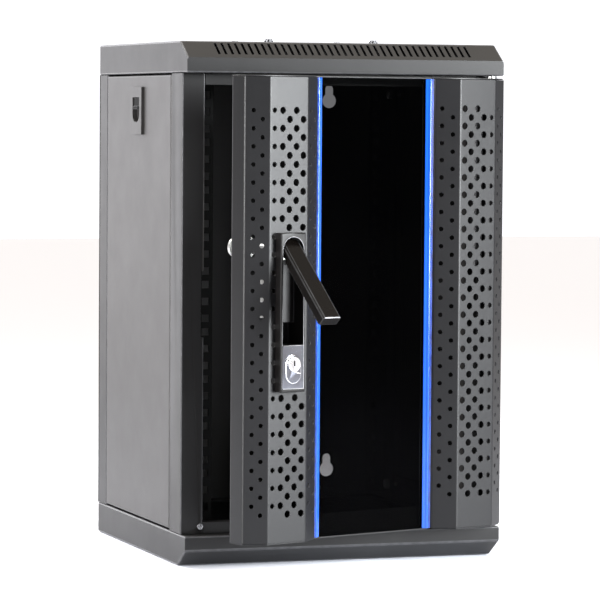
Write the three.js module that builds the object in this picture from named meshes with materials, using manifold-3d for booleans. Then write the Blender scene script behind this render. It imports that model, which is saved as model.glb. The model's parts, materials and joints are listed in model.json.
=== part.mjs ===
// A 9U wall cabinet for 10-inch network equipment, with its glass door ajar.
// Millimetres. X is to the right of someone facing the front, Y to the back, Z up.
// The origin is the centre of the underside.
import * as THREE from "three";
import { mergeVertices } from "three/addons/utils/BufferGeometryUtils.js";
import Module from "manifold-3d";

const wasm = await Module();
wasm.setup();

// ---- Driving dimensions ----
const HALF_W = 156; // half the cabinet's width
const HALF_D = 150; // half its depth
const HEIGHT = 486;
const SHEET = 1.5; // folded steel of the body
const THIN = 1.2; // folded steel of the door and side panels
const GAP = 0.3; // clearance between touching pieces

const CAP_H = 29.5; // height of the roof and floor trays
const CAP_FASCIA = 14.1; // upright part of a tray's front
const CAP_SLOPE_Y = 23.6; // how far back the sloped part of a tray's front goes
const POST_Y = -134.7; // front face of the front posts
const POST_W = 22;
const POST_RETURN = 12;
const PANEL_Y = [-99.4, 120.3]; // opening for a side panel
const FRAME_SCREW_Z = 36.8;
const NOTCH_Z = [212, 274]; // strike notch in the return of each front post

const VENTS = 39;
const VENT_PITCH = 6.5;
const FAN_Y = -20.5;
const FAN_SIZE = 120;
const FAN_SCREW = 52.5; // half the spacing of the fan screws
const COVER_Y = [62, 124]; // cable-entry cover in the floor and the roof
const KEYHOLE_X = 86;

const RACK_UNIT = 44.45;
const RACK_UNITS = 9;
const RAIL_HOLE_X = 118.25; // 236.5 mm between the rows of holes
const RAIL_EDGE_X = 111.3;
const RAIL_OUT_X = 133.7;
const RAIL_Z = [38, 448];
const RAIL_FRONT_Y = -88;
const RAIL_REAR_Y = 100;

const LATCH_Y = 11.5;
const LATCH_Z = 421.4;

const DOOR_AJAR = THREE.MathUtils.degToRad(18);
const HINGE = [146, -143.5];
const DOOR_REAR = -135.8;
const DOOR_Z = [32.1, 453.9];
// The door's outer section, from its edge inwards: [distance from the middle, y]
const SECTION = [
  [149.6, DOOR_REAR],
  [149.6, -156.3],
  [130.6, -167.3],
  [88.7, -167.3],
  [69.1, -154.7],
];
const GLASS_Y = [-150.8, -147.3];

const HUB_X = -110.4;
const HUB_Z = 297.8;
const BASE_FRONT = -177.3; // front of the handle's housing
const PIN_Y = -173; // the lever's pin
const LEVER_LIFT = THREE.MathUtils.degToRad(44);
const LEVER_L = 85.2;
const LEVER_W = 19.8;
const LEVER_T = 10;
const RECESS_W = 23.4;
const RECESS_R = 11.4; // round pocket at the lever's hub
const RECESS_Y = -158.5;
const RECESS_FLOOR_Y = -162.3; // raised floor behind the folded lever
const CATCH_POCKET_Y = -154; // pocket that the lever's catch drops into
const KEY_Z = 195.3;
const CAM_Y = [-106.5, -103.5];
const CAM_TIP = -130.6;

// ---- Shapes ----
// Where the sketch plane's u, v and its depth w go, for a prism along each axis.
const TURN = {
  x: new THREE.Matrix4().set(0, 0, 1, 0, 1, 0, 0, 0, 0, 1, 0, 0, 0, 0, 0, 1),
  y: new THREE.Matrix4().set(0, 1, 0, 0, 0, 0, 1, 0, 1, 0, 0, 0, 0, 0, 0, 1),
  z: new THREE.Matrix4(),
};

function solid(geometry) {
  const bare = geometry.clone();
  bare.deleteAttribute("normal");
  bare.deleteAttribute("uv");
  const merged = mergeVertices(bare, 1e-4);
  return new wasm.Manifold(
    new wasm.Mesh({
      numProp: 3,
      vertProperties: merged.attributes.position.array,
      triVerts: new Uint32Array(merged.index.array),
    }),
  );
}

// A polygon extruded along an axis. Its points are [y, z], [x, z] or [x, y].
function prism(axis, points, from, to) {
  const sketch = axis === "y" ? points.map(([x, z]) => [z, x]) : points;
  const shape = new THREE.Shape(sketch.map(([u, v]) => new THREE.Vector2(u, v)));
  const geometry = new THREE.ExtrudeGeometry(shape, { depth: to - from, bevelEnabled: false });
  geometry.translate(0, 0, from);
  return solid(geometry.applyMatrix4(TURN[axis]));
}

function box([x0, x1], [y0, y1], [z0, z1]) {
  return prism("z", [[x0, y0], [x1, y0], [x1, y1], [x0, y1]], z0, z1);
}

// A round bar along an axis; its centre has the same two coordinates as a prism's points.
function rod(axis, [u, v], radius, from, to, sides = 24) {
  const points = [];
  for (let i = 0; i < sides; i++) {
    const a = ((i + 0.5) * 2 * Math.PI) / sides;
    points.push([u + radius * Math.cos(a), v + radius * Math.sin(a)]);
  }
  return prism(axis, points, from, to);
}

// A folded sheet: the line of its outer side, thickened to the right of the way it runs.
function folded(line, thickness) {
  const normals = line.slice(1).map(([x, y], i) => {
    const dx = x - line[i][0];
    const dy = y - line[i][1];
    const length = Math.hypot(dx, dy);
    return [dy / length, -dx / length];
  });
  const inner = line.map(([x, y], i) => {
    const a = normals[Math.max(i - 1, 0)];
    const b = normals[Math.min(i, normals.length - 1)];
    const k = thickness / (1 + a[0] * b[0] + a[1] * b[1]);
    return [x + (a[0] + b[0]) * k, y + (a[1] + b[1]) * k];
  });
  return [...line, ...inner.reverse()];
}

const join = (first, ...rest) => rest.reduce((whole, piece) => whole.add(piece), first);
const cut = (whole, ...tools) => tools.reduce((left, tool) => left.subtract(tool), whole);
const span = (centre, size) => [centre - size / 2, centre + size / 2];
const sided = (side, range) => (side < 0 ? [-range[1], -range[0]] : range);
const flipped = (side, points) => points.map(([x, y]) => [side * x, y]);

const FINISH = {
  black_powder: { color: 0x26272a, roughness: 0.55, metalness: 0.25 },
  door_powder: { color: 0x2a2c30, roughness: 0.45, metalness: 0.3 },
  glass: { color: 0x0b0d10, roughness: 0.05, metalness: 0, transparent: true, opacity: 0.6 },
  blue: { color: 0x145aff, roughness: 0.25, metalness: 0.1 },
  black_plastic: { color: 0x151516, roughness: 0.4, metalness: 0 },
  zinc: { color: 0xc9cbc8, roughness: 0.35, metalness: 0.9 },
  chrome: { color: 0xdedfe2, roughness: 0.12, metalness: 1 },
};

const cabinet = new THREE.Group();
const door = new THREE.Group();
const lever = new THREE.Group();

// Adds a piece to a group, with its geometry taken relative to the group's own origin.
function place(group, name, finish, piece) {
  const m = piece.getMesh();
  const geometry = new THREE.BufferGeometry();
  geometry.setAttribute("position", new THREE.BufferAttribute(m.vertProperties, 3));
  geometry.setIndex(new THREE.BufferAttribute(m.triVerts, 1));
  const flat = geometry.toNonIndexed();
  flat.computeVertexNormals();
  const origin = group.userData.origin ?? [0, 0, 0];
  flat.translate(-origin[0], -origin[1], -origin[2]);
  const mesh = new THREE.Mesh(flat, new THREE.MeshStandardMaterial(FINISH[finish]));
  mesh.name = name;
  group.add(mesh);
}

// ---- Roof and floor trays ----
// The floor tray's section, [y, z]; the roof tray is the same, upside down.
function traySolid(roof) {
  const lip = CAP_H - CAP_FASCIA;
  const slope = Math.hypot(CAP_SLOPE_Y, lip);
  const shift = (SHEET * (slope - CAP_SLOPE_Y)) / lip;
  const up = (points) => points.map(([y, z]) => [y, roof ? HEIGHT - z : z]);
  const outer = [
    [-HALF_D, CAP_H],
    [-HALF_D, lip],
    [CAP_SLOPE_Y - HALF_D, 0],
    [HALF_D, 0],
    [HALF_D, CAP_H],
  ];
  const fold = (SHEET * (slope - lip)) / CAP_SLOPE_Y;
  const inner = [
    [SHEET - HALF_D, CAP_H - SHEET],
    [SHEET - HALF_D, lip + fold],
    [CAP_SLOPE_Y - HALF_D + shift, SHEET],
    [HALF_D - SHEET, SHEET],
    [HALF_D - SHEET, CAP_H - SHEET],
  ];
  const shell = prism("x", up(outer), -HALF_W, HALF_W);
  const hollow = prism("x", up(inner), SHEET - HALF_W, HALF_W - SHEET);
  const deck = roof ? [HEIGHT - CAP_H - 1, HEIGHT - CAP_H + 2] : [CAP_H - 2, CAP_H + 1];
  return cut(shell, hollow, box([-130, 130], [-120, 130], deck));
}

const entry = (z) => box([-75, 75], [COVER_Y[0] + 8, COVER_Y[1] - 8], z);

function roofTray() {
  const slope = Math.hypot(CAP_SLOPE_Y, CAP_H - CAP_FASCIA);
  const along = [CAP_SLOPE_Y / slope, (CAP_H - CAP_FASCIA) / slope];
  const at = (down, out) => [
    CAP_SLOPE_Y - HALF_D - down * along[0] - out * along[1],
    HEIGHT - down * along[1] + out * along[0],
  ];
  const slot = [at(3.4, 2), at(22.4, 2), at(22.4, -3), at(3.4, -3)];
  const tools = [entry([HEIGHT - 3, HEIGHT + 1])];
  for (let i = 0; i < VENTS; i++) {
    const x = (i - (VENTS - 1) / 2) * VENT_PITCH;
    tools.push(prism("x", slot, x - 1.3, x + 1.3));
  }
  for (let i = 0; i < 20; i++) {
    const a = (i * Math.PI) / 10;
    const bar = [[21, -1.8], [50, -3.4], [50, 3.4], [21, 1.8]].map(([u, v]) => [
      u * Math.cos(a) - v * Math.sin(a),
      FAN_Y + u * Math.sin(a) + v * Math.cos(a),
    ]);
    tools.push(prism("z", bar, HEIGHT - 3, HEIGHT + 1));
  }
  for (const [x, y] of fanCorners()) {
    tools.push(rod("z", [x, y], 2.3, HEIGHT - 3, HEIGHT + 1, 12));
  }
  return cut(traySolid(true), ...tools);
}

function fanCorners() {
  const c = FAN_SCREW;
  return [[-c, FAN_Y - c], [c, FAN_Y - c], [-c, FAN_Y + c], [c, FAN_Y + c]];
}

place(cabinet, "roof_tray", "black_powder", roofTray());
place(cabinet, "floor_tray", "black_powder", cut(traySolid(false), entry([-1, 3])));
for (const [name, z] of [
  ["roof_entry_cover", span(HEIGHT - SHEET - GAP - THIN / 2, THIN)],
  ["floor_entry_cover", span(SHEET + GAP + THIN / 2, THIN)],
]) {
  place(cabinet, name, "black_powder", box([-90, 90], COVER_Y, z));
}

// ---- Roof fan ----
const FAN_TOP = HEIGHT - SHEET - GAP;
const FAN_Z = [FAN_TOP - 25, FAN_TOP];
{
  const half = FAN_SIZE / 2;
  const ring = cut(
    box([-half, half], [FAN_Y - half, FAN_Y + half], FAN_Z),
    rod("z", [0, FAN_Y], 57, FAN_Z[0] - 1, FAN_Z[1] + 1, 48),
  );
  const holes = fanCorners().map((at) => rod("z", at, 2.3, FAN_Z[0] - 1, FAN_Z[1] + 1, 12));
  const hub = rod("z", [0, FAN_Y], 19, FAN_Z[0], FAN_Z[0] + 4, 24);
  const struts = [0, 1, 2, 3].map((i) => {
    const a = Math.PI / 8 + (i * Math.PI) / 2;
    const bar = [[10, -2], [58.5, -2], [58.5, 2], [10, 2]].map(([u, v]) => [
      u * Math.cos(a) - v * Math.sin(a),
      FAN_Y + u * Math.sin(a) + v * Math.cos(a),
    ]);
    return prism("z", bar, FAN_Z[0], FAN_Z[0] + 4);
  });
  place(cabinet, "fan_frame", "black_plastic", join(cut(ring, ...holes), hub, ...struts));

  const core = rod("z", [0, FAN_Y], 19, FAN_Z[0] + 4.6, FAN_Z[1] - 2, 28);
  const blades = [];
  for (let i = 0; i < 7; i++) {
    const blade = solid(new THREE.BoxGeometry(38, 17, 1.8));
    const tilted = blade.rotate([38, 0, 0]).translate([36, 0, 0]);
    const at = [0, FAN_Y, (FAN_Z[0] + FAN_Z[1]) / 2 + 1.5];
    blades.push(tilted.rotate([0, 0, (i * 360) / 7]).translate(at));
  }
  place(cabinet, "fan_rotor", "black_plastic", join(core, ...blades));

  fanCorners().forEach(([x, y], i) => {
    const head = join(
      rod("z", [x, y], 4.2, HEIGHT + GAP, HEIGHT + 2.4, 16),
      rod("z", [x, y], 3, HEIGHT + 2.3, HEIGHT + 3.8, 16),
      rod("z", [x, y], 1.9, HEIGHT - 16, HEIGHT + 1, 12),
    );
    const cross = [
      box(span(x, 4), span(y, 0.9), [HEIGHT + 2.6, HEIGHT + 4.5]),
      box(span(x, 0.9), span(y, 4), [HEIGHT + 2.6, HEIGHT + 4.5]),
    ];
    place(cabinet, `fan_screw_${i + 1}`, "black_powder", cut(head, ...cross));
  });
}

// ---- Frame ----
const FRAME_Z = [CAP_H + 0.4, HEIGHT - CAP_H - 0.4];
for (const [side, word] of [[-1, "left"], [1, "right"]]) {
  const front = [
    [HALF_W - 10, PANEL_Y[0]],
    [HALF_W, PANEL_Y[0]],
    [HALF_W, POST_Y],
    [HALF_W - POST_W, POST_Y],
    [HALF_W - POST_W, POST_Y + POST_RETURN],
  ];
  const post = prism("z", flipped(side, folded(front, SHEET)), ...FRAME_Z);
  const inner = HALF_W - POST_W;
  const notch = sided(side, [inner - 1, inner + 3]);
  const screwAt = [side * (inner + 3), FRAME_SCREW_Z];
  const pieces = [
    box(notch, [POST_Y - 1, POST_Y + POST_RETURN + 1], NOTCH_Z),
    rod("y", screwAt, 1.75, POST_Y - 1, POST_Y + 3, 12),
  ];
  place(cabinet, `front_post_${word}`, "black_powder", cut(post, ...pieces));

  const rearY = HALF_D - SHEET - GAP;
  const rear = [
    [inner, rearY - POST_RETURN],
    [inner, rearY],
    [HALF_W, rearY],
    [HALF_W, PANEL_Y[1]],
    [HALF_W - 10, PANEL_Y[1]],
  ];
  const rearPost = prism("z", flipped(side, folded(rear, SHEET)), ...FRAME_Z);
  place(cabinet, `rear_post_${word}`, "black_powder", rearPost);

  const screw = join(
    rod("y", screwAt, 3, POST_Y - GAP - 1.6, POST_Y - GAP, 20),
    rod("y", screwAt, 1.4, POST_Y - 1, POST_Y + 7, 12),
  );
  const cross = [
    box(span(screwAt[0], 3.6), [POST_Y - 3, POST_Y - 1.1], span(FRAME_SCREW_Z, 0.8)),
    box(span(screwAt[0], 0.8), [POST_Y - 3, POST_Y - 1.1], span(FRAME_SCREW_Z, 3.6)),
  ];
  place(cabinet, `frame_screw_${word}`, "zinc", cut(screw, ...cross));
}

const beamX = HALF_W - POST_W - GAP;
const beamLine = (top) => {
  const lip = top ? FRAME_Z[1] - 10.5 : FRAME_Z[0] + 10.5;
  const end = top ? FRAME_Z[1] : FRAME_Z[0];
  const line = [[POST_Y, end], [POST_Y, lip], [POST_Y + 14, lip]];
  return folded(top ? line.reverse() : line, SHEET);
};
place(cabinet, "front_beam_top", "black_powder", prism("x", beamLine(true), -beamX, beamX));
place(cabinet, "front_beam_bottom", "black_powder", prism("x", beamLine(false), -beamX, beamX));

{
  const panel = box([-HALF_W, HALF_W], [HALF_D - SHEET, HALF_D], FRAME_Z);
  const holes = [];
  for (const x of [-KEYHOLE_X, KEYHOLE_X]) {
    for (const z of [433, 56.2]) {
      holes.push(rod("y", [x, z], 7.5, HALF_D - 3, HALF_D + 1, 20));
      holes.push(rod("y", [x, z + 11.8], 4.3, HALF_D - 3, HALF_D + 1, 16));
      holes.push(box(span(x, 8.6), [HALF_D - 3, HALF_D + 1], [z, z + 11.8]));
    }
  }
  place(cabinet, "rear_panel", "black_powder", cut(panel, ...holes));
}

// ---- Rack rails and the bars that carry them ----
const BAR_Y = [POST_Y + POST_RETURN + GAP, HALF_D - SHEET - POST_RETURN - 2 * GAP];
const SCREW_Z = { bottom: 46, top: 440 };
for (const [side, word] of [[-1, "left"], [1, "right"]]) {
  for (const level of ["bottom", "top"]) {
    const out = level === "bottom" ? FRAME_Z[0] : FRAME_Z[1];
    const tip = level === "bottom" ? out + 26 : out - 26;
    const x = RAIL_OUT_X + GAP;
    const line = [[x + 10.5, out], [x, out], [x, tip]];
    const points = folded(level === "bottom" ? line : line.reverse(), SHEET);
    const bar = prism("y", flipped(side, points), ...BAR_Y);
    const slots = [RAIL_FRONT_Y + 11, RAIL_REAR_Y - 11].map((y) =>
      box(sided(side, [x - 2, x + 4]), span(y, 44), span(SCREW_Z[level], 6.4)),
    );
    place(cabinet, `depth_bar_${level}_${word}`, "black_powder", cut(bar, ...slots));
  }

  for (const [depth, y, back] of [["front", RAIL_FRONT_Y, 1], ["rear", RAIL_REAR_Y, -1]]) {
    const line = [[RAIL_EDGE_X, y], [RAIL_OUT_X, y], [RAIL_OUT_X, y + back * 22]];
    const points = folded(back > 0 ? line.reverse() : line, SHEET);
    const rail = prism("z", flipped(side, points), ...RAIL_Z);
    const holes = [];
    for (let unit = 0; unit < RACK_UNITS; unit++) {
      const z = HEIGHT / 2 + (unit - (RACK_UNITS - 1) / 2) * RACK_UNIT;
      for (const step of [-15.875, 0, 15.875]) {
        const x = side * RAIL_HOLE_X;
        holes.push(box(span(x, 7), [y - 3, y + 3], span(z + step, 7)));
      }
    }
    for (const level of ["bottom", "top"]) {
      const at = [y + back * 11, SCREW_Z[level]];
      const [from, to] = sided(side, [RAIL_OUT_X - 3, RAIL_OUT_X + 1]);
      holes.push(rod("x", at, 2.8, from, to, 12));
      const [headFrom, headTo] = sided(side, [RAIL_OUT_X - 6, RAIL_OUT_X - SHEET - GAP]);
      const [pinFrom, pinTo] = sided(side, [RAIL_OUT_X - 5, RAIL_OUT_X + 7]);
      const [hexFrom, hexTo] = sided(side, [RAIL_OUT_X - 7, RAIL_OUT_X - 4]);
      const screw = cut(
        join(rod("x", at, 4.8, headFrom, headTo, 16), rod("x", at, 2.4, pinFrom, pinTo, 12)),
        rod("x", at, 2.2, hexFrom, hexTo, 6),
      );
      place(cabinet, `rail_screw_${depth}_${level}_${word}`, "zinc", screw);
    }
    place(cabinet, `rack_rail_${depth}_${word}`, "black_powder", cut(rail, ...holes));
  }
}

// ---- Side panels, with their slide latches ----
const PANEL_Z = [FRAME_Z[0] + 1.3, FRAME_Z[1] - 1.3];
for (const [side, word] of [[-1, "left"], [1, "right"]]) {
  const edges = [PANEL_Y[0] + 1, PANEL_Y[1] - 1];
  const shell = box(sided(side, [HALF_W - 8, HALF_W]), edges, PANEL_Z);
  const inside = box(
    sided(side, [HALF_W - 9, HALF_W - THIN]),
    [edges[0] + THIN, edges[1] - THIN],
    [PANEL_Z[0] + THIN, PANEL_Z[1] - THIN],
  );
  const window = box(sided(side, [HALF_W - 3, HALF_W + 1]), span(LATCH_Y, 31), span(LATCH_Z, 39));
  place(cabinet, `side_panel_${word}`, "black_powder", cut(shell, inside, window));

  const [frontFrom, frontTo] = sided(side, [HALF_W + GAP, HALF_W + 4]);
  const rim = box([frontFrom, frontTo], span(LATCH_Y, 37), span(LATCH_Z, 45.5));
  const body = box(sided(side, [HALF_W - 7, HALF_W + 1]), span(LATCH_Y, 30.4), span(LATCH_Z, 38.4));
  const slotZ = [LATCH_Z - 10.7, LATCH_Z + 12.8];
  const slot = join(
    box(sided(side, [HALF_W - 2.5, HALF_W + 6]), span(LATCH_Y, 23), [slotZ[0] + 8, slotZ[1]]),
    box(sided(side, [HALF_W - 2.5, HALF_W + 6]), span(LATCH_Y, 9), slotZ),
    rod("x", [LATCH_Y - 3.5, slotZ[0] + 8], 8, ...sided(side, [HALF_W - 2.5, HALF_W + 6]), 24),
    rod("x", [LATCH_Y + 3.5, slotZ[0] + 8], 8, ...sided(side, [HALF_W - 2.5, HALF_W + 6]), 24),
  );
  const track = box(sided(side, [HALF_W - 8, HALF_W]), span(LATCH_Y, 8), slotZ);
  place(cabinet, `latch_bezel_${word}`, "black_plastic", cut(join(rim, body), slot, track));

  const knobZ = [LATCH_Z + 1.4, LATCH_Z + 12.2];
  const ridge = join(
    box(sided(side, [HALF_W - 2, HALF_W + 1.6]), span(LATCH_Y, 20), knobZ),
    box(sided(side, [HALF_W + 1, HALF_W + 3.2]), span(LATCH_Y, 16), [knobZ[0], knobZ[0] + 3]),
  );
  const neck = box(sided(side, [HALF_W - 10, HALF_W - 1]), span(LATCH_Y, 7), [
    LATCH_Z + 4.5,
    LATCH_Z + 12.2,
  ]);
  const bolt = box(sided(side, [HALF_W - 10.6, HALF_W - 8.4]), span(LATCH_Y, 12), [
    LATCH_Z + 4.5,
    HEIGHT - CAP_H - 0.6,
  ]);
  place(cabinet, `latch_slider_${word}`, "black_plastic", join(ridge, neck, bolt));
}

// ---- Hinge pins, fixed to the trays ----
for (const [name, end, way] of [
  ["hinge_pin_bottom", CAP_H, 1],
  ["hinge_pin_top", HEIGHT - CAP_H, -1],
]) {
  const range = (a, b) => (way > 0 ? [end + a, end + b] : [end - b, end - a]);
  const pin = join(
    rod("z", HINGE, 3.9, ...range(GAP, 2.2), 24),
    rod("z", HINGE, 2, ...range(1, 13), 24),
  );
  place(cabinet, name, "zinc", pin);
}

// ---- Door: everything on it is drawn closed, then the group is turned about the hinge ----
door.userData.origin = [...HINGE, 0];
door.position.set(...HINGE, 0);
door.rotation.z = DOOR_AJAR;
cabinet.add(door);

const COLUMN_Z = [DOOR_Z[0] + THIN + GAP, DOOR_Z[1] - THIN - GAP];
for (const [side, word] of [[-1, "left"], [1, "right"]]) {
  const line = [[141.6, DOOR_REAR], ...SECTION, [69.1, GLASS_Y[1] + GAP], [60, GLASS_Y[1] + GAP]];
  const column = prism("z", flipped(side, folded(line, THIN)), ...COLUMN_Z);
  const window = box(span(HUB_X, 25.4), [-169, -163], [172.9, 311.2]);
  const whole = side < 0 ? cut(column, window) : column;
  place(door, `door_column_${word}`, "door_powder", whole);

  const trim = [[68.8, -151.1], [68.8, -154.4], [60.5, -151.9], [60.5, -151.1]];
  place(door, `accent_strip_${word}`, "blue", prism("z", flipped(side, trim), ...COLUMN_Z));
}
place(door, "door_glass", "glass", box([-68.8, 68.8], GLASS_Y, COLUMN_Z));

for (const [name, z, way] of [["door_rail_bottom", DOOR_Z[0], 1], ["door_rail_top", DOOR_Z[1], -1]]) {
  const range = (a, b) => (way > 0 ? [z + a, z + b] : [z - b, z - a]);
  const right = [...SECTION, [69.1, GLASS_Y[0] - GAP]];
  const outline = [...right, ...flipped(-1, right).reverse()];
  const backY = GLASS_Y[1] + GAP;
  const bar = join(
    prism("z", outline, ...range(0, THIN)),
    box([-59.7, 59.7], [backY, backY + THIN], range(THIN / 2, 22)),
    box([-128, 128], [DOOR_REAR - THIN, DOOR_REAR], range(THIN / 2, 12)),
  );
  place(door, name, "door_powder", cut(bar, rod("z", HINGE, 2.3, ...range(-1, 14), 24)));
}

// ---- Swing handle ----
const across = (size) => span(HUB_X, size);
{
  const rimZ = [170, 313];
  const front = join(
    box(across(27.2), [BASE_FRONT, -167.6], rimZ),
    box(across(24.8), [-168, -152], [173.2, 310.9]),
  );
  const recess = [
    box(across(RECESS_W), [BASE_FRONT - 2, RECESS_Y], [211.9, 288]),
    box(across(2 * RECESS_R - 0.2), [BASE_FRONT - 2, RECESS_Y], [287, HUB_Z]),
    rod("y", [HUB_X, HUB_Z], RECESS_R, BASE_FRONT - 2, RECESS_Y, 36),
    box(across(RECESS_W), [RECESS_Y - 1, CATCH_POCKET_Y], [211.9, 231.9]),
  ];
  const raised = box(across(RECESS_W + 1), [RECESS_FLOOR_Y, RECESS_Y + 1], [231.9, 284]);
  const plateSeat = box(across(RECESS_W + 0.2), [BASE_FRONT - 1, BASE_FRONT + 1.5], [173.3, 211.9]);
  const bores = [
    rod("y", [HUB_X, HUB_Z], 6.4, RECESS_Y - 1, -150, 24),
    rod("y", [HUB_X, KEY_Z], 6.2, BASE_FRONT - 1, -150, 24),
  ];
  const housing = join(cut(front, ...recess), raised);
  place(door, "handle_housing", "black_plastic", cut(housing, plateSeat, ...bores));

  const plate = box(across(RECESS_W - 0.4), [BASE_FRONT + 0.1, BASE_FRONT + 1.2], [173.6, 211.6]);
  const boss = join(
    box(across(17), [BASE_FRONT - 1, BASE_FRONT + 1], [186, KEY_Z]),
    rod("y", [HUB_X, KEY_Z], 8.5, BASE_FRONT - 1, BASE_FRONT + 1, 28),
    rod("y", [HUB_X, 186], 8.5, BASE_FRONT - 1, BASE_FRONT + 1, 28),
  );
  const keyBore = rod("y", [HUB_X, KEY_Z], 6.2, BASE_FRONT - 3, BASE_FRONT + 3, 24);
  place(door, "lock_plate", "chrome", cut(join(plate, boss), keyBore));

  const cylinder = join(
    rod("y", [HUB_X, KEY_Z], 6.8, BASE_FRONT - 2.8, BASE_FRONT - 1.3, 28),
    rod("y", [HUB_X, KEY_Z], 5.9, BASE_FRONT - 2, -149, 24),
  );
  const keyway = box(across(1.3), [BASE_FRONT - 4, BASE_FRONT + 4], span(KEY_Z, 6.5));
  place(door, "key_cylinder", "chrome", cut(cylinder, keyway));

  const clampLine = [
    [HUB_X - 17, -165.8],
    [HUB_X - 17, -150],
    [HUB_X + 17, -150],
    [HUB_X + 17, -165.8],
  ];
  place(door, "housing_clamp", "zinc", prism("z", folded(clampLine, 1.6), 236, 281));
}

// The hub turns in the housing; the lever is pinned to its lug, and the cam sits on its back end.
{
  const lug = join(
    box(across(6), [PIN_Y, -161], span(HUB_Z, 7)),
    rod("x", [PIN_Y, HUB_Z], 3.5, HUB_X - 3, HUB_X + 3, 20),
  );
  const pinHole = rod("x", [PIN_Y, HUB_Z], 1.9, HUB_X - 4, HUB_X + 4, 16);
  const hub = join(
    rod("y", [HUB_X, HUB_Z], 9.5, -161.5, RECESS_Y - GAP, 28),
    rod("y", [HUB_X, HUB_Z], 6, RECESS_Y - 1, CAM_Y[0] - GAP, 24),
    box(across(7), [CAM_Y[0] - 1, CAM_Y[1] + GAP], span(HUB_Z, 7)),
    rod("y", [HUB_X, HUB_Z], 2.8, CAM_Y[1], CAM_Y[1] + 5.5, 16),
  );
  place(door, "handle_hub", "zinc", cut(join(hub, lug), pinHole));

  const tipR = 10;
  const cam = join(
    rod("y", [HUB_X, HUB_Z], tipR, ...CAM_Y, 28),
    box([CAM_TIP + tipR, HUB_X], CAM_Y, span(HUB_Z, 2 * tipR * Math.cos(Math.PI / 28))),
    rod("y", [CAM_TIP + tipR, HUB_Z], tipR, ...CAM_Y, 28),
  );
  const square = box(across(7.6), [CAM_Y[0] - 1, CAM_Y[1] + 1], span(HUB_Z, 7.6));
  place(door, "lock_cam", "zinc", cut(cam, square));
  const nutY = [CAM_Y[1] + GAP, CAM_Y[1] + 4.5];
  const nut = cut(
    rod("y", [HUB_X, HUB_Z], 5.8, ...nutY, 6),
    rod("y", [HUB_X, HUB_Z], 3.1, nutY[0] - 1, nutY[1] + 1, 16),
  );
  place(door, "cam_nut", "zinc", nut);
}

// ---- Lever: drawn folded into the housing, then the group is lifted about its pin ----
const PIN = [HUB_X, PIN_Y, HUB_Z];
lever.userData.origin = PIN;
lever.position.set(PIN[0] - HINGE[0], PIN[1] - HINGE[1], PIN[2]);
lever.rotation.x = -LEVER_LIFT;
door.add(lever);
{
  const thickness = span(PIN_Y, LEVER_T);
  const end = HUB_Z - LEVER_L;
  const grip = join(
    box(across(LEVER_W), thickness, [end, HUB_Z]),
    rod("y", [HUB_X, HUB_Z], LEVER_W / 2, ...thickness, 32),
  );
  const bevels = [-1, 1].map((side) =>
    prism(
      "z",
      [[0, -5.2], [0, -3.4], [-side * 1.8, -5.2]].map(([x, y]) => [
        HUB_X + side * (LEVER_W / 2 + 0.05) + x,
        PIN_Y + y,
      ]),
      end - 1,
      HUB_Z + 12,
    ),
  );
  const slot = box(across(7), [PIN_Y - 3.9, PIN_Y + 8], [HUB_Z - 5.5, HUB_Z + 12]);
  const bore = rod("x", [PIN_Y, HUB_Z], 1.9, HUB_X - 8.6, HUB_X + 8.6, 16);
  const catchBlock = box(across(12), [PIN_Y + 4, PIN_Y + 9.5], [end + 4.5, end + 12.5]);
  const arm = join(cut(grip, slot, bore, ...bevels), catchBlock);
  // Room to swing: when the lever is lifted, only a round neck of it is left inside the recess.
  const deep = cut(
    box([HUB_X - 20, HUB_X + 20], [BASE_FRONT - 0.4, -140], [HUB_Z - 60, HUB_Z + 30]),
    rod("y", [HUB_X, HUB_Z], RECESS_R - 0.35, BASE_FRONT - 2, -139, 36),
  );
  const folding = new THREE.Matrix4()
    .makeTranslation(...PIN)
    .multiply(new THREE.Matrix4().makeRotationX(LEVER_LIFT))
    .multiply(new THREE.Matrix4().makeTranslation(-PIN[0], -PIN[1], -PIN[2]));
  place(lever, "handle_lever", "black_plastic", cut(arm, deep.transform(folding.elements)));
  const pin = rod("x", [PIN_Y, HUB_Z], 1.6, HUB_X - 8.2, HUB_X + 8.2, 16);
  place(lever, "lever_pin", "zinc", pin);
}

export default cabinet;
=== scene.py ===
import json
import math

import bmesh
import bpy
from mathutils import Matrix, Vector


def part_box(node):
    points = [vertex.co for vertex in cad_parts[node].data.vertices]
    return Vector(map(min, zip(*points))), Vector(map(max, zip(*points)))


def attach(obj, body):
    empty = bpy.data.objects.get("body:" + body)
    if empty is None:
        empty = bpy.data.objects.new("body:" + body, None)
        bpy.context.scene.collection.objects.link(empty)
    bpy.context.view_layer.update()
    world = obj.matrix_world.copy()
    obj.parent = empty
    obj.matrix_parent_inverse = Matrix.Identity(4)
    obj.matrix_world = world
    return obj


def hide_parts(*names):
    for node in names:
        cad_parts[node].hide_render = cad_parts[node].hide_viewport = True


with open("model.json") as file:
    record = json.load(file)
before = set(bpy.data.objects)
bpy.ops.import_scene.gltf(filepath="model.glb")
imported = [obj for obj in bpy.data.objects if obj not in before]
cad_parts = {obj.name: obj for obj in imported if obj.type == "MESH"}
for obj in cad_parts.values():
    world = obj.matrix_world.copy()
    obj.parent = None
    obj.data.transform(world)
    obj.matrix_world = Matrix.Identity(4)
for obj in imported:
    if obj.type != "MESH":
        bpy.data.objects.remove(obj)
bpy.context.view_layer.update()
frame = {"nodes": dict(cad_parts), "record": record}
NODES = frame["nodes"]
MM = 0.001


# ---------------------------------------------------------------- camera and light

# Where the camera stands, in metres, and its three axes.
EYE = (-1.08321, -3.19895, 0.41925)
EYE_RIGHT = Vector((0.946775, -0.321812, 0.007322))
EYE_UP = Vector((0.010279, 0.052961, 0.998544))
EYE_FORWARD = Vector((0.321731, 0.945321, -0.053450))
LENS = 208.41
SENSOR = 36

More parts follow.
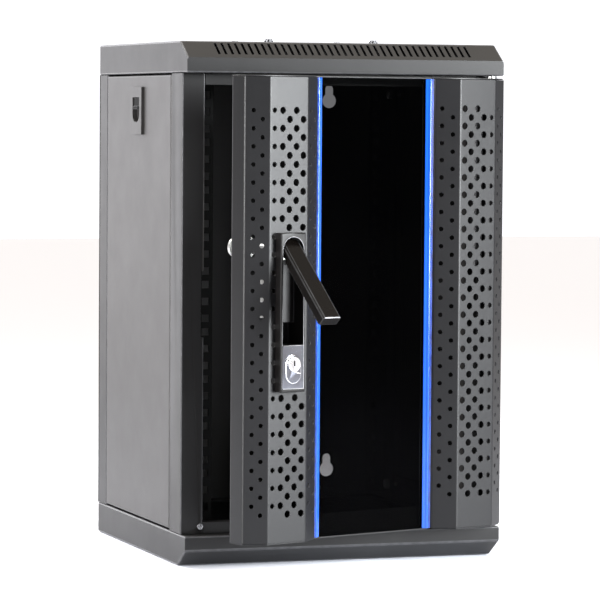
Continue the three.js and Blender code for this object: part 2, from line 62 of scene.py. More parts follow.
# Radiance of the studio around the object, white paper being about 1.
WALLS = (0.30, 0.305, 0.32, 1)
CEILING = (1.9, 1.75, 1.55, 1)
BACKDROP = (1.25, 1.25, 1.3, 1)
# Each brighter part: the axis it lies towards, where its edge starts and ends, and its colour.
STUDIO = (("Z", 0.40, 0.75, CEILING), ("Y", 0.78, 0.90, BACKDROP))

FLOOR_COLOUR = (0.70, 0.72, 0.785, 1)
FLOOR_SIZE = 16
# The floor lies just under the base, so that the two don't flicker.
FLOOR_Z = -0.0006
COOL = (0.95, 0.98, 1)
PALE = (0.985, 0.97, 1)


def make_camera():
    data = bpy.data.cameras.new("camera")
    data.sensor_fit = "HORIZONTAL"
    data.sensor_width = SENSOR
    data.lens = LENS
    data.clip_start = 0.1
    data.clip_end = 60
    cam = bpy.data.objects.new("camera", data)
    turn = Matrix((EYE_RIGHT, EYE_UP, -EYE_FORWARD)).transposed().to_4x4()
    cam.matrix_world = Matrix.Translation(EYE) @ turn
    bpy.context.scene.collection.objects.link(cam)
    bpy.context.scene.camera = cam


def softbox(name, centre, target, size, radiance, colour=(1, 1, 1), spread=90):
    """A rectangular studio light with a grid, which keeps it off the floor around it.
    Its brightness is given as radiance straight ahead, white paper being about 1."""
    data = bpy.data.lights.new(name, "AREA")
    data.shape = "RECTANGLE"
    data.size, data.size_y = size
    half = math.radians(spread / 2)
    data.spread = 2 * half
    boost = math.tan(half) / (math.tan(half) - half)
    data.energy = radiance * math.pi * size[0] * size[1] / boost
    data.color = colour
    lamp = bpy.data.objects.new(name, data)
    lamp.location = centre
    aim = Vector(target) - Vector(centre)
    lamp.rotation_euler = aim.to_track_quat("-Z", "Y").to_euler()
    lamp.visible_camera = False
    bpy.context.scene.collection.objects.link(lamp)


def make_world():
    """A studio: a bright backdrop towards +Y, a soft warm ceiling, and dim walls elsewhere."""
    world = bpy.data.worlds.new("studio")
    bpy.context.scene.world = world
    world.use_nodes = True
    tree = world.node_tree
    coord = tree.nodes.new("ShaderNodeTexCoord")
    split = tree.nodes.new("ShaderNodeSeparateXYZ")
    tree.links.new(coord.outputs["Generated"], split.inputs["Vector"])
    colour = None
    for axis, start, end, bright in STUDIO:
        ramp = tree.nodes.new("ShaderNodeMapRange")
        ramp.interpolation_type = "SMOOTHSTEP"
        ramp.inputs["From Min"].default_value = start
        ramp.inputs["From Max"].default_value = end
        tree.links.new(split.outputs[axis], ramp.inputs["Value"])
        mix = tree.nodes.new("ShaderNodeMix")
        mix.data_type = "RGBA"
        tree.links.new(ramp.outputs["Result"], mix.inputs["Factor"])
        if colour is None:
            mix.inputs["A"].default_value = WALLS
        else:
            tree.links.new(colour, mix.inputs["A"])
        mix.inputs["B"].default_value = bright
        colour = mix.outputs["Result"]
    tree.links.new(colour, tree.nodes["Background"].inputs["Color"])


def make_stage():
    bpy.ops.mesh.primitive_plane_add(size=FLOOR_SIZE, location=(0, 0, FLOOR_Z))
    floor = bpy.context.object
    floor.name = "studio_floor"
    mat = bpy.data.materials.new("studio_floor")
    mat.use_nodes = True
    shader = mat.node_tree.nodes["Principled BSDF"]
    shader.inputs["Base Color"].default_value = FLOOR_COLOUR
    shader.inputs["Roughness"].default_value = 0.8
    floor.data.materials.append(mat)
    make_world()
    softbox("key", (1.418, -1.88, 0.73), (0, -0.2, 0.25), (0.8, 1.3), 84, COOL)
    softbox("rim", (-2.04, -0.85, 0.6), (-0.15, -0.2, 0.25), (0.55, 1.2), 50)
    softbox("back", (-1.0, 2.46, 0.8), (-0.156, 0, 0.25), (1.5, 1.6), 1.7, PALE, 160)
    softbox("wash", (-1.0, 1.0, 1.5), (-0.5, 0.5, 0), (1.2, 1.2), 16, spread=80)
    bpy.context.scene.view_settings.view_transform = "Standard"


make_camera()
make_stage()


# ---------------------------------------------------------------- materials

class Tree:
    """A short way to add and link shader nodes."""

    def __init__(self, name):
        self.mat = bpy.data.materials.new(name)
        self.mat.use_nodes = True
        self.nodes = self.mat.node_tree.nodes
        self.shader = self.nodes["Principled BSDF"]
        self.coord = self.nodes.new("ShaderNodeTexCoord").outputs["Object"]

    def link(self, a, b):
        self.mat.node_tree.links.new(a, b)

    def noise(self, scale, detail=3.0, stretch=(1, 1, 1), roughness=0.55):
        place = self.nodes.new("ShaderNodeMapping")
        place.inputs["Scale"].default_value = stretch
        self.link(self.coord, place.inputs["Vector"])
        tex = self.nodes.new("ShaderNodeTexNoise")
        tex.inputs["Scale"].default_value = scale
        tex.inputs["Detail"].default_value = detail
        tex.inputs["Roughness"].default_value = roughness
        self.link(place.outputs["Vector"], tex.inputs["Vector"])
        return tex.outputs["Fac"]

    def ranged(self, value, low, high, start=0.3, end=0.7):
        node = self.nodes.new("ShaderNodeMapRange")
        node.inputs["From Min"].default_value = start
        node.inputs["From Max"].default_value = end
        node.inputs["To Min"].default_value = low
        node.inputs["To Max"].default_value = high
        self.link(value, node.inputs["Value"])
        return node.outputs["Result"]

    def blend(self, factor, a, b):
        node = self.nodes.new("ShaderNodeMix")
        node.data_type = "RGBA"
        self.link(factor, node.inputs["Factor"])
        node.inputs["A"].default_value = (*a, 1)
        node.inputs["B"].default_value = (*b, 1)
        return node.outputs["Result"]

    def bump(self, height, distance, strength=1.0, normal=None):
        node = self.nodes.new("ShaderNodeBump")
        node.inputs["Strength"].default_value = strength
        node.inputs["Distance"].default_value = distance
        self.link(height, node.inputs["Height"])
        if normal is not None:
            self.link(normal, node.inputs["Normal"])
        return node.outputs["Normal"]

    def painted_light_and_wear(self):
        """How far a spot is painted lighter or darker than its material, broken up by a little
        noise: edge wear and painted highlights on folds and edges, and painted shade on the blue
        strip.
        """
        mark = self.nodes.new("ShaderNodeAttribute")
        mark.attribute_name = "light_and_wear_mark"
        node = self.nodes.new("ShaderNodeMath")
        node.operation = "MULTIPLY"
        self.link(mark.outputs["Fac"], node.inputs[0])
        self.link(self.ranged(self.noise(120, 4.0), 0.55, 1.0), node.inputs[1])
        return node.outputs["Value"]

    def level(self):
        """1 on faces that lie flat and look up, where dust dulls the paint, else 0."""
        normal = self.nodes.new("ShaderNodeNewGeometry").outputs["Normal"]
        parts = self.nodes.new("ShaderNodeSeparateXYZ")
        self.link(normal, parts.inputs["Vector"])
        return self.ranged(parts.outputs["Z"], 0, 1, start=0.8, end=0.97)

    def mix(self, factor, a, b):
        """Mixes two outputs, or an output and a constant."""
        node = self.nodes.new("ShaderNodeMix")
        node.data_type = "RGBA" if isinstance(b, tuple) else "FLOAT"
        self.link(factor, node.inputs["Factor"])
        sockets = {i.name: i for i in node.inputs if i.enabled}
        self.link(a, sockets["A"])
        sockets["B"].default_value = (*b, 1) if isinstance(b, tuple) else b
        return next(o for o in node.outputs if o.enabled)

    def rounded(self, radius):
        node = self.nodes.new("ShaderNodeBevel")
        node.samples = 4
        node.inputs["Radius"].default_value = radius
        return node.outputs["Normal"]

    def set(self, **values):
        for key, value in values.items():
            self.shader.inputs[key.replace("_", " ")].default_value = value


def scaled(colour, k):
    return tuple(c * k for c in colour)


# Colour and roughness of paint on a fold or edge, lighter and glossier from wear and as a painted
# highlight, and roughness of dusty paint.
EDGE_WEAR_AND_HIGHLIGHT = (0.055, 0.055, 0.058)
BURNISHED = 0.17
DUSTY = 0.68


def powder_coat(name, colour, rough, grain=0.00001, soft_edge=0.0005, specular=0.32):
    """Paint baked on steel: a fine orange-peel grain, with a slow change in tone and gloss."""
    t = Tree(name)
    fine = t.noise(1900, 2.0)
    peel = t.noise(420, 2.0)
    slow = t.noise(7, 4.0)
    smudge = t.noise(26, 5.0, roughness=0.65)
    painted_light_and_wear = t.painted_light_and_wear()
    paint = t.blend(t.ranged(slow, 0, 1), scaled(colour, 0.92), scaled(colour, 1.1))
    # Marked folds and edges are painted lighter: edge wear and a painted highlight.
    t.link(t.mix(painted_light_and_wear, paint, EDGE_WEAR_AND_HIGHLIGHT), t.shader.inputs["Base Color"])
    gloss = t.ranged(smudge, rough - 0.02, rough + 0.025)
    gloss = t.mix(t.level(), gloss, DUSTY)
    t.link(t.mix(painted_light_and_wear, gloss, BURNISHED), t.shader.inputs["Roughness"])
    normal = t.bump(peel, grain * 1.4, normal=t.rounded(soft_edge) if soft_edge else None)
    t.link(t.bump(fine, grain, normal=normal), t.shader.inputs["Normal"])
    t.set(Specular_IOR_Level=specular)
    return t.mat


def moulded(name, colour, rough, soft_edge=0.0004, specular=0.3, edge=EDGE_WEAR_AND_HIGHLIGHT):
    """Moulded plastic with a fine spark-eroded texture."""
    t = Tree(name)
    fine = t.noise(2600, 2.0)
    smudge = t.noise(40, 5.0, roughness=0.65)
    painted_light_and_wear = t.painted_light_and_wear()
    paint = t.blend(t.ranged(smudge, 0, 1), scaled(colour, 0.85), scaled(colour, 1.2))
    # Marked edges are mixed towards the edge colour, a painted highlight.
    t.link(t.mix(painted_light_and_wear, paint, edge), t.shader.inputs["Base Color"])
    gloss = t.ranged(smudge, rough - 0.04, rough + 0.04)
    t.link(t.mix(painted_light_and_wear, gloss, rough - 0.12), t.shader.inputs["Roughness"])
    t.link(t.bump(fine, 0.000008, normal=t.rounded(soft_edge)), t.shader.inputs["Normal"])
    t.set(Specular_IOR_Level=specular)
    return t.mat


def plated(name, colour, rough, brushed=0.0, soft_edge=0.0003):
    """Plated metal, with faint streaks and wipe marks."""
    t = Tree(name)
    streak = t.noise(350, 3.0, stretch=(1, 1, 0.08))
    smudge = t.noise(60, 5.0, roughness=0.7)
    t.link(t.blend(t.ranged(smudge, 0, 1), scaled(colour, 0.86), scaled(colour, 1.05)),
           t.shader.inputs["Base Color"])
    t.link(t.ranged(smudge, rough * 0.75, rough * 1.35), t.shader.inputs["Roughness"])
    t.link(t.bump(streak, brushed, normal=t.rounded(soft_edge)), t.shader.inputs["Normal"])
    t.set(Metallic=1.0)
    return t.mat


def tinted_glass():
    """Dark glass with faint wipe marks. It hardly reflects, so what is behind it stays dark."""
    t = Tree("tinted_glass")
    smudge = t.noise(18, 5.0, roughness=0.7)
    t.link(t.ranged(smudge, 0.03, 0.09), t.shader.inputs["Roughness"])
    tint = t.blend(t.ranged(smudge, 0, 1), (0.0001, 0.0001, 0.00013), (0.0002, 0.0002, 0.00024))
    t.link(tint, t.shader.inputs["Base Color"])
    t.set(Alpha=0.66, Specular_IOR_Level=0.012)
    return t.mat


# The strip's colour on the side towards its column: painted shade.
NAVY_PAINTED_SHADE = (0.001, 0.008, 0.07)


def blue_trim():
    """Glossy moulded blue plastic, with painted shade: the faces towards the column are a darker
    blue.
    """
    t = Tree("blue_trim")
    slow = t.noise(30, 3.0)
    vivid = t.blend(t.ranged(slow, 0, 1), (0.002, 0.05, 0.34), (0.003, 0.06, 0.40))
    # Marked faces are mixed towards navy: painted shade on the side towards the column.
    t.link(t.mix(t.painted_light_and_wear(), vivid, NAVY_PAINTED_SHADE), t.shader.inputs["Base Color"])
    t.link(t.ranged(t.noise(90, 4.0), 0.11, 0.15), t.shader.inputs["Roughness"])
    t.link(t.bump(t.noise(900, 2.0), 0.0000012, normal=t.rounded(0.0003)),
           t.shader.inputs["Normal"])
    return t.mat


BODY = powder_coat("body_powder", (0.006, 0.0058, 0.006), 0.37, specular=0.2)
PANEL = powder_coat("panel_powder", (0.020, 0.0188, 0.0185), 0.41, specular=0.36)
INNER = powder_coat("inner_powder", (0.002, 0.002, 0.002), 0.6, specular=0.08)
DOOR = powder_coat("door_powder", (0.0045, 0.0045, 0.005), 0.36, grain=0.00003, soft_edge=0.0003,
                   specular=0.25)
# The black plastic's light edge colour is a painted highlight on the housing's marked edges.
PLASTIC = moulded("black_plastic", (0.0025, 0.0021, 0.0021), 0.36, specular=0.19,
                  edge=(0.4, 0.4, 0.42))
# The lever's light edge colour is a painted highlight on its marked end.
LEVER = moulded("lever_plastic", (0.0018, 0.0014, 0.0012), 0.26, specular=0.05,
                edge=(0.3, 0.3, 0.31))
# The lock plate is a darker copy of the chrome, as painted shade, so it mirrors less of the bright
# studio.
PLATE = plated("lock_plate_metal", (0.24, 0.25, 0.285), 0.06, 0.000001)
OXIDE = plated("black_oxide", (0.10, 0.10, 0.105), 0.4, 0.000004)
SCREW = plated("dark_plate", (0.16, 0.16, 0.165), 0.22, 0.000004)
ZINC = plated("zinc_plate", (0.62, 0.62, 0.60), 0.3, 0.00001)
CHROME = plated("chrome_plate", (0.80, 0.80, 0.82), 0.09, 0.000002)
GLASS = tinted_glass()
BLUE = blue_trim()

SLOT_MATERIAL = {
    "frame_powder": BODY,
    "panel_powder": PANEL,
    "rail_powder": INNER,
    "door_powder": DOOR,
    "tinted_glass": GLASS,
    "blue_trim": BLUE,
    "black_plastic": PLASTIC,
    "black_screw": OXIDE,
    "zinc": ZINC,
    "chrome": CHROME,
}
SLOT = {p["node"]: p["material_slot"] for p in frame["record"]["subparts"]}
BODY_OF = {n: b for b, ns in frame["record"]["behaviour"]["bodies"].items() for n in ns}


# ---------------------------------------------------------------- mesh helpers

def finish_piece(bm, name, node, material=None, smooth=34):
    """Turns a bmesh into an object that stands for a CAD node."""
    mesh = bpy.data.meshes.new(name)
    for face in bm.faces:
        face.smooth = True
    bm.to_mesh(mesh)
    bm.free()
    mesh.set_sharp_from_angle(angle=math.radians(smooth))
    obj = bpy.data.objects.new(name, mesh)
    bpy.context.scene.collection.objects.link(obj)
    mesh.materials.append(material or SLOT_MATERIAL[SLOT[node]])
    even = obj.modifiers.new("even_normals", "WEIGHTED_NORMAL")
    even.keep_sharp = True
    even.weight = 90
    bpy.context.view_layer.update()
    baked = bpy.data.meshes.new_from_object(
        obj.evaluated_get(bpy.context.evaluated_depsgraph_get()))
    obj.modifiers.clear()
    obj.data = baked
    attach(obj, BODY_OF[node])
    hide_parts(node)
    return obj


def clean_copy(node):
    """A CAD node's mesh with its triangles merged back into flat faces."""
    bm = bmesh.new()
    bm.from_mesh(NODES[node].data)
    bmesh.ops.remove_doubles(bm, verts=bm.verts, dist=1e-5)
    bmesh.ops.dissolve_limit(
        bm, angle_limit=math.radians(0.6), verts=bm.verts, edges=bm.edges)
    bmesh.ops.recalc_face_normals(bm, faces=bm.faces)
    return bm


def thickness_of(face):
    """Roughly how wide a long face is."""
    longest = max(e.calc_length() for e in face.edges)
    return face.calc_area() / longest


# A fold is an edge at least this long, in metres, which turns by an angle in this range, in
# radians, between faces at least this many fold radii wide.
FOLD_LENGTH = 0.02
FOLD_ANGLES = (0.3, 2.2)
FOLD_ROOM = 2.6
# An edge is broken where it turns by more than this.
SHARP = math.radians(40)


def is_fold(edge, radius):
    if len(edge.link_faces) != 2 or not edge.is_convex or edge.calc_length() <= FOLD_LENGTH:
        return False
    if not FOLD_ANGLES[0] < edge.calc_face_angle(0) < FOLD_ANGLES[1]:
        return False
    return min(thickness_of(f) for f in edge.link_faces) > FOLD_ROOM * radius


def softened(node, fine=0.0004, fold=0.0, material=None, segments=2, painted_light_and_wear=0.6, fold_light_and_wear=1.0,
             prepare=None, clamp=True):
    """A copy of a CAD node with rounded folds and broken edges, which are marked to be painted
    lighter, as edge wear and a painted highlight. The mark is given as how far, or as a function of
    the face. Without clamp, edges too short to break are left."""
    bm = clean_copy(node)
    light_and_wear_mark = bm.faces.layers.float.new("light_and_wear_mark")
    if prepare:
        prepare(bm)
    if fold:
        edges = [e for e in bm.edges if is_fold(e, fold)]
        made = bmesh.ops.bevel(bm, geom=edges, offset=fold, segments=4, profile=0.5,
                               affect="EDGES", clamp_overlap=True)
        for face in made["faces"]:
            face[light_and_wear_mark] = fold_light_and_wear
    edges = [e for e in bm.edges if len(e.link_faces) == 2 and e.calc_face_angle(0) > SHARP]
    if not clamp:
        edges = [e for e in edges if e.calc_length() > 2.2 * fine]
    made = bmesh.ops.bevel(bm, geom=edges, offset=fine, segments=segments, profile=0.5,
                           affect="EDGES", clamp_overlap=clamp)
    for face in made["faces"]:
        face[light_and_wear_mark] = painted_light_and_wear(face) if callable(painted_light_and_wear) else painted_light_and_wear
    return finish_piece(bm, node + "_shell", node, material)


# ---------------------------------------------------------------- perforated door columns

# The door is drawn closed, in mm, and turned about its hinge to where it stands.
DOOR_TURN = math.radians(18)
HINGE = Vector((146, -143.5, 0))
SIDES = ((-1, "left"), (1, "right"))


def about_hinge(x, y, angle):
    dx, dy = x - HINGE.x, y - HINGE.y
    c, s = math.cos(angle), math.sin(angle)
    return HINGE.x + c * dx - s * dy, HINGE.y + s * dx + c * dy


def on_door(x, y, z):
    """A point drawn on the closed door, in mm, to where it is on the open one, in metres."""
    return Vector((*about_hinge(x, y, DOOR_TURN), z)) * MM


def off_door(co):
    """A point on the open door, in metres, to where it is drawn on the closed one, in mm."""
    return Vector((*about_hinge(co.x / MM, co.y / MM, -DOOR_TURN), co.z / MM))


# The right column's skin, seen from above, from its rear lip to the lip behind the glass. The sheet
# is added outside it, so every face stands one sheet further out than is drawn here. The rear lip
# is drawn 0.7 mm forward of the solid's, to keep off the post with the door closed.
SECTION = [(141.6, -136.5), (149.6, -136.5), (149.6, -156.3), (130.6, -167.3),
           (88.7, -167.3), (69.1, -154.7), (69.1, -147.0), (60.0, -147.0)]
FOLD_R = 2.7
FOLD_STEPS = 4
SHEET = 1.2
COLUMN_Z = (33.6, 452.4)
# A narrow strip at the top and bottom, which is marked to be painted lighter, as edge wear and a
# painted highlight.
HEM = 0.9
HEM_LIGHT_AND_WEAR = 0.7
# Distance between a line's holes, and the height of the top one, on each side.
PITCH = {-1: 16.15, 1: 16.0}
TOP_ROW = {-1: 422.5, 1: 425.3}
ROWS = 23
# Holes on each facet, by its place in SECTION: distance from the facet's outer edge, radius, and
# which of two sets of rows.
HOLES = {
    2: [(7.3, 2.1, "A"), (15.4, 2.1, "B")],
    3: [(4.7, 2.45, "A"), (13.8, 3.25, "A"), (21.6, 3.25, "B"), (29.1, 3.25, "A"),
        (36.8, 3.25, "B")],
    4: [(6.7, 2.2, "A"), (16.9, 2.2, "B")],
}
HOLE_SIDES = 16
# Corners of a hole that the six points round its cell are joined to.
HOLE_MARKS = (0, 3, 5, 8, 11, 13)
# The left column behind the handle's housing, x0, x1, z0, z1: where it has no holes, and where it
# is cut away.
HANDLE_PLAIN = (-124.6, -96.2, 169.0, 314.0)
HANDLE_WINDOW = (-123.1, -97.7, 172.9, 311.2)
# Faces further forward than this are the front facet's.
FRONT_FACET_Y = -166.5
# How much lighter the walls of the holes and the cut edges are painted, as edge wear and a painted
# highlight.
RIM_LIGHT_AND_WEAR = 0.9


def fold_path(section, radius, steps=FOLD_STEPS):
    """Rounds the section's corners. Returns its flats, each as its two ends and how much the fold
    before it took off, and its folds, each as the points between its ends."""
    flats, folds = [], []
    n = len(section)
    trims = [0.0] * n
    for i in range(1, n - 1):
        a, b, c = (Vector(section[k]) for k in (i - 1, i, i + 1))
        turn = (b - a).angle(c - b)
        trims[i] = radius * math.tan(turn / 2)
    for i in range(n - 1):
        a, b = Vector(section[i]), Vector(section[i + 1])
        d = (b - a).normalized()
        flats.append((a + d * trims[i], b - d * trims[i + 1], trims[i]))
    for i in range(1, n - 1):
        start, end = flats[i - 1][1], flats[i][0]
        d0 = (Vector(section[i]) - start).normalized()
        d1 = (end - Vector(section[i])).normalized()
        turn = d0.angle_signed(d1)
        side = Vector((d0.y, -d0.x)) * (1 if turn > 0 else -1)
        centre = start + side * radius
        spoke = start - centre
        arc = []
        for k in range(1, steps):
            ang = -turn * k / steps
            c, s = math.cos(ang), math.sin(ang)
            arc.append(centre + Vector((c * spoke.x - s * spoke.y, s * spoke.x + c * spoke.y)))
        folds.append(arc)
    return flats, folds


def is_plain(side, x, z):
    """Whether a hole here would be behind the handle's housing."""
    x0, x1, z0, z1 = HANDLE_PLAIN
    return side < 0 and x0 < side * x < x1 and z0 < z < z1


def door_column(side, word):
    """A folded column with its holes, built as a skin and then thickened."""
    flats, folds = fold_path(SECTION, FOLD_R)
    bm = bmesh.new()
    light_and_wear_mark = bm.faces.layers.float.new("light_and_wear_mark")
    pitch = PITCH[side]
    half = pitch / 2
    shift = {"A": half, "B": 0.0} if side > 0 else {"A": 0.0, "B": half}
    # Heights that every vertical line has, so neighbouring cells share their corners.
    low, high = COLUMN_Z
    top = TOP_ROW[side] + half
    levels = [top - half * k for k in range(2 * ROWS + 2)]
    z_all = [high, high - HEM]
    z_all += [z for z in levels if low + 2 < z < high - 2]
    z_all += [low + HEM, low]
    spans = list(zip(z_all, z_all[1:]))
    cache = {}

    def vert(x, y, z):
        key = (round(x, 3), round(y, 3), round(z, 3))
        if key not in cache:
            cache[key] = bm.verts.new(on_door(side * x, y, z))
        return cache[key]

    def patch(p, q, z0, z1, painted_light_and_wear=0.0):
        face = bm.faces.new([vert(*p, z0), vert(*q, z0), vert(*q, z1), vert(*p, z1)])
        hem = z1 - z0 < 1.01 * HEM
        face[light_and_wear_mark] = max(painted_light_and_wear, HEM_LIGHT_AND_WEAR if hem else 0.0)

    def strip(p, q, painted_light_and_wear=0.0):
        for z1, z0 in spans:
            patch(p, q, z0, z1, painted_light_and_wear)

    def cell(a, d, left, right, s, r, zc):
        """One cell of the pattern: a rectangle with a round hole, joined by a fan of faces."""
        ring = []
        for k in range(HOLE_SIDES):
            ang = 2 * math.pi * k / HOLE_SIDES
            p = a + d * (s + r * math.cos(ang))
            ring.append(vert(p.x, p.y, zc + r * math.sin(ang)))
        border = [(right, zc), (right, zc + half), (left, zc + half), (left, zc),
                  (left, zc - half), (right, zc - half)]
        outer = []
        for u, z in border:
            p = a + d * u
            outer.append(vert(p.x, p.y, z))
        for k, i0 in enumerate(HOLE_MARKS):
            following = (k + 1) % len(HOLE_MARKS)
            i1 = HOLE_MARKS[following]
            if i1 <= i0:
                i1 += HOLE_SIDES
            arc = [ring[i % HOLE_SIDES] for i in range(i0, i1 + 1)]
            bm.faces.new([outer[k], outer[following], *reversed(arc)])

    def facet(index):
        a, b, trim = flats[index]
        d = (b - a).normalized()
        holes = HOLES.get(index)
        if not holes:
            strip(a, b)
            return
        bounds = [0.0]
        for h0, h1 in zip(holes, holes[1:]):
            bounds.append((h0[0] + h1[0]) / 2 - trim)
        bounds.append((b - a).length)
        for k, (s, r, phase) in enumerate(holes):
            left, right = bounds[k], bounds[k + 1]
            x = (a + d * (s - trim)).x
            centres = [TOP_ROW[side] - shift[phase] - pitch * n for n in range(ROWS)]
            centres = [zc for zc in centres if not is_plain(side, x, zc)]
            for zc in centres:
                cell(a, d, left, right, s - trim, r, zc)
            # Plain faces where there is no hole.
            for z1, z0 in spans:
                mid = (z0 + z1) / 2
                if not any(abs(mid - zc) < half for zc in centres):
                    patch(a + d * left, a + d * right, z0, z1)

    for i in range(len(flats)):
        facet(i)
        if i < len(folds):
            line = [flats[i][1], *folds[i], flats[i + 1][0]]
            for p, q in zip(line, line[1:]):
                strip(p, q, 1.0)
    if side < 0:
        cut_window(bm)
    bmesh.ops.recalc_face_normals(bm, faces=bm.faces)
    # The largest face is in the side wall. It is turned towards a point before the door, so the
    # whole skin faces inwards, and thicken adds the sheet on its outer side.
    largest = max(bm.faces, key=lambda f: f.calc_area())
    before = on_door(side * 110, -400, 200)
    if (before - largest.calc_center_median()).dot(largest.normal) < 0:
        bmesh.ops.reverse_faces(bm, faces=bm.faces)
    thicken(bm, SHEET * MM)
    return finish_piece(bm, f"perforated_column_{word}", f"door_column_{word}", smooth=32)


def cut_window(bm):
    """Removes the faces behind the handle's housing."""
    x0, x1, z0, z1 = HANDLE_WINDOW
    # Faces whose middle is nearer to the window's top or bottom than this, in mm, stay.
    margin = 3
    doomed = []
    for f in bm.faces:
        at = off_door(f.calc_center_median())
        if x0 < at.x < x1 and at.y < FRONT_FACET_Y and z0 + margin < at.z < z1 - margin:
            doomed.append(f)
    bmesh.ops.delete(bm, geom=doomed, context="FACES")


def thicken(bm, depth):
    """Gives a skin its thickness on the side its faces look away from."""
    light_and_wear_mark = bm.faces.layers.float["light_and_wear_mark"]
    outer = list(bm.faces)
    rim = [e for e in bm.edges if len(e.link_faces) == 1]
    offsets = {}
    for v in bm.verts:
        normals = []
        for f in v.link_faces:
            if not any((f.normal - n).length < 1e-3 for n in normals):
                normals.append(f.normal.copy())
        total = sum(normals, Vector()).normalized()
        # Far enough that every adjoining face moves by the full depth.
        k = sum(total.dot(n) for n in normals) / len(normals)
        offsets[v] = -total * depth / max(k, 0.5)
    twin = {v: bm.verts.new(v.co + offsets[v]) for v in list(bm.verts)}
    for f in outer:
        bm.faces.new([twin[v] for v in reversed(f.verts)])
    for e in rim:
        loop = next(l for l in e.link_faces[0].loops if l.edge == e)
        a, b = loop.vert, loop.link_loop_next.vert
        face = bm.faces.new([b, a, twin[a], twin[b]])
        face[light_and_wear_mark] = RIM_LIGHT_AND_WEAR


for side, word in SIDES:
    door_column(side, word)


# ---------------------------------------------------------------- the other pieces

# The strip is a wedge, whose slope falls towards the glass, with a bead along it. In mm, seen from
# above: the wedge's wide and narrow ends as x and y, and its flat back.
STRIP_WIDE = (68.8, -154.3)
STRIP_NARROW = (60.5, -151.5)
STRIP_BACK = -151.1
STRIP_SLOPE = 0.3
# The bead's middle on the slope, its radius, and how deep its centre is sunk.
BEAD_X = 64.5
BEAD_Y = -153.07
BEAD_R = 1.75
BEAD_SUNK = 0.93
BEAD_HALF_ANGLE = 58
BEAD_POINTS = 11


def accent_strip(side, word):
    """The blue trim beside the glass: a wedge with a rounded bead along it."""
    node = f"accent_strip_{word}"
    z0, z1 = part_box(node)[0][2] / MM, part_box(node)[1][2] / MM
    outline = [(STRIP_WIDE[0], STRIP_BACK), STRIP_WIDE]
    step = 2 * BEAD_HALF_ANGLE / (BEAD_POINTS - 1)
    for k in range(BEAD_POINTS):
        ang = math.radians(step * k - BEAD_HALF_ANGLE)
        u, out = BEAD_R * math.sin(ang), BEAD_R * math.cos(ang) - BEAD_SUNK
        outline.append((BEAD_X - u, BEAD_Y - out + STRIP_SLOPE * u))
    outline += [STRIP_NARROW, (STRIP_NARROW[0], STRIP_BACK)]
    bm = bmesh.new()
    light_and_wear_mark = bm.faces.layers.float.new("light_and_wear_mark")
    rings = [[bm.verts.new(on_door(side * x, y, z)) for x, y in outline] for z in (z0, z1)]
    n = len(outline)
    for k in range(n):
        m = (k + 1) % n
        face = bm.faces.new([rings[0][k], rings[0][m], rings[1][m], rings[1][k]])
        # The side towards the column is painted a darker blue, as painted shade.
        face[light_and_wear_mark] = 1.0 if min(outline[k][0], outline[m][0]) > BEAD_X + 1 else 0.0
    bm.faces.new(rings[0])
    bm.faces.new(rings[1])
    bmesh.ops.recalc_face_normals(bm, faces=bm.faces)
    return finish_piece(bm, f"beaded_strip_{word}", node, smooth=24)


# The handle, in mm on the closed door: its middle line, its recess, how far forward the recess's
# edges are, and the lock plate's boss.
HUB_X = -110.4
RECESS_HALF = 12.55
RECESS_Z = (172.25, 312.2)
RECESS_FRONT_Y = -175
BOSS_Z = 195.3
BOSS_INNER_R = 6.9
# Points this near the foremost one, in mm, are in the same flat face.
LEVEL = 0.1


def in_recess(at):
    return abs(at.x - HUB_X) < RECESS_HALF and RECESS_Z[0] < at.z < RECESS_Z[1]


def foremost_edges(bm):
    """Edges in the foremost face of a piece of the door, each with its middle, door closed."""
    front = min(off_door(v.co).y for v in bm.verts) + LEVEL
    found = []
    for e in bm.edges:
        a, b = (off_door(v.co) for v in e.verts)
        if max(a.y, b.y) < front:
            found.append((e, (a + b) / 2))
    return found


def round_housing_rim(bm):
    """Rounds the housing's outer front edge, which catches less light than its face."""
    rim = [e for e, mid in foremost_edges(bm) if len(e.link_faces) == 2 and not in_recess(mid)]
    bmesh.ops.bevel(bm, geom=rim, offset=0.0011, segments=3, profile=0.5,
                    affect="EDGES", clamp_overlap=True)


def housing_edge_highlight(face):
    """The edges round the recess are painted light, as a painted highlight; those outside are only
    faintly lighter.
    """
    at = off_door(face.calc_center_median())
    return 1.0 if in_recess(at) and at.y < RECESS_FRONT_Y else 0.05


def lever_end_highlight(face):
    """The edge across the lever's end is painted bright, as a painted highlight, and its long edges
    only a little.
    """
    forward = on_door(0, -1000, 0) - on_door(0, 0, 0)
    return 1.0 if face.normal.dot(forward) > 0.86 else 0.08


def brighten_boss_rim(bm):
    """Rounds the rim of the plate's raised boss and gives it the brighter chrome, a painted
    highlight against the darker plate.
    """
    centre = Vector((HUB_X, BOSS_Z))
    rim = [e for e, mid in foremost_edges(bm) if (mid.xz - centre).length > BOSS_INNER_R]
    made = bmesh.ops.bevel(bm, geom=rim, offset=0.0007, segments=3, profile=0.5,
                           affect="EDGES", clamp_overlap=False)
    for face in made["faces"]:
        face.material_index = 1


# All in metres. A latch bezel's points beyond BEZEL_OUTSIDE are brought in to BEZEL_FACE, 2.4 mm
# proud of its panel.
BEZEL_OUTSIDE = 0.1575
BEZEL_FACE = 0.1584
# How far a side panel's front edge is set back on the outside, how near to the front its points
# are, and how near to the outside.
PANEL_SLANT = 0.0008
PANEL_FOLD = 0.002
SAME_FACE = 0.0004
# How far the rear panel runs into each tray, and how near to its ends the points are that move.
REAR_OVERLAP = 0.00002
REAR_END = 0.0001
# The top rail's lips end just above what shows through the glass.
RAIL_LIP_Z = 0.4474


def lower_bezel(bm):
    """Brings the bezel's outer face nearer to its panel."""
    for v in bm.verts:
        if abs(v.co.x) > BEZEL_OUTSIDE:
            v.co.x = math.copysign(BEZEL_FACE, v.co.x)


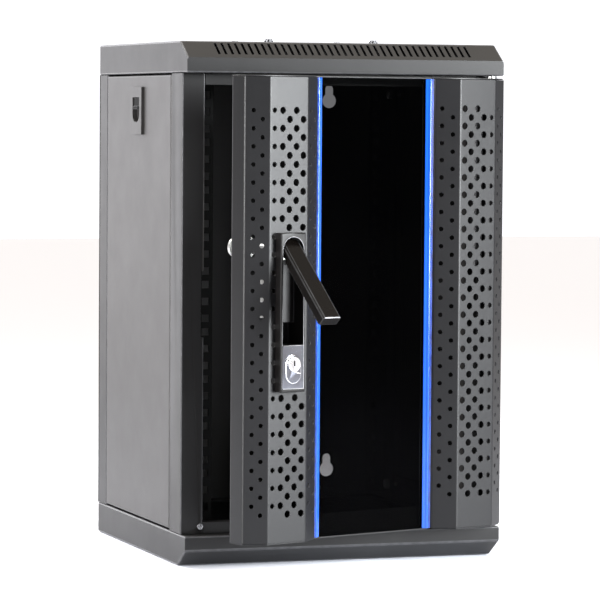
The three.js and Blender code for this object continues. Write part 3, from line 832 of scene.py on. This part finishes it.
def open_panel_gap(bm):
    """Opens the gap between the panel's front edge and the post, on the outside only."""
    front = min(v.co.y for v in bm.verts)
    side = max(abs(v.co.x) for v in bm.verts)
    for v in bm.verts:
        if v.co.y < front + PANEL_FOLD and abs(v.co.x) > side - SAME_FACE:
            v.co.y += PANEL_SLANT


def close_rear_slit(bm):
    """The rear panel comes down to the floor tray and up to the roof tray."""
    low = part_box("floor_tray")[1][2] - REAR_OVERLAP
    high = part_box("roof_tray")[0][2] + REAR_OVERLAP
    z0 = min(v.co.z for v in bm.verts)
    z1 = max(v.co.z for v in bm.verts)
    for v in bm.verts:
        if v.co.z < z0 + REAR_END:
            v.co.z = low
        if v.co.z > z1 - REAR_END:
            v.co.z = high


def trim_top_rail(bm):
    """Shortens the top rail's lips."""
    for v in bm.verts:
        v.co.z = max(v.co.z, RAIL_LIP_Z)


for tray in ("roof_tray", "floor_tray"):
    softened(tray, fine=0.0003, fold=0.0016, segments=1)
for side, word in SIDES:
    softened(f"front_post_{word}", fine=0.0003, fold=0.002, segments=1)
    softened(f"rear_post_{word}", fine=0.0003, fold=0.002, segments=1)
    softened(f"side_panel_{word}", fold=0.0014, segments=1, fold_light_and_wear=0.2, prepare=open_panel_gap)
    softened(f"latch_bezel_{word}", fine=0.0005, material=PANEL, prepare=lower_bezel)
    softened(f"latch_slider_{word}", material=INNER)
    accent_strip(side, word)
softened("door_rail_top", fine=0.0003, segments=1, prepare=trim_top_rail)
softened("rear_panel", fine=0.0003, segments=1, prepare=close_rear_slit)
for side, word in SIDES:
    softened(f"frame_screw_{word}", fine=0.0002, material=SCREW)
softened("handle_housing", painted_light_and_wear=housing_edge_highlight, prepare=round_housing_rim, clamp=False)
softened("handle_lever", fine=0.0008, segments=3, material=LEVER, painted_light_and_wear=lever_end_highlight, clamp=False)
plate = softened("lock_plate", fine=0.0002, segments=1, material=PLATE, prepare=brighten_boss_rim)
# The boss rim's brighter chrome is a painted highlight.
plate.data.materials.append(CHROME)
softened("key_cylinder", clamp=False)

for node, obj in NODES.items():
    mats = obj.data.materials
    if len(mats) == 0:
        mats.append(SLOT_MATERIAL[SLOT[node]])
    for i in range(len(mats)):
        mats[i] = SLOT_MATERIAL[SLOT[node]]
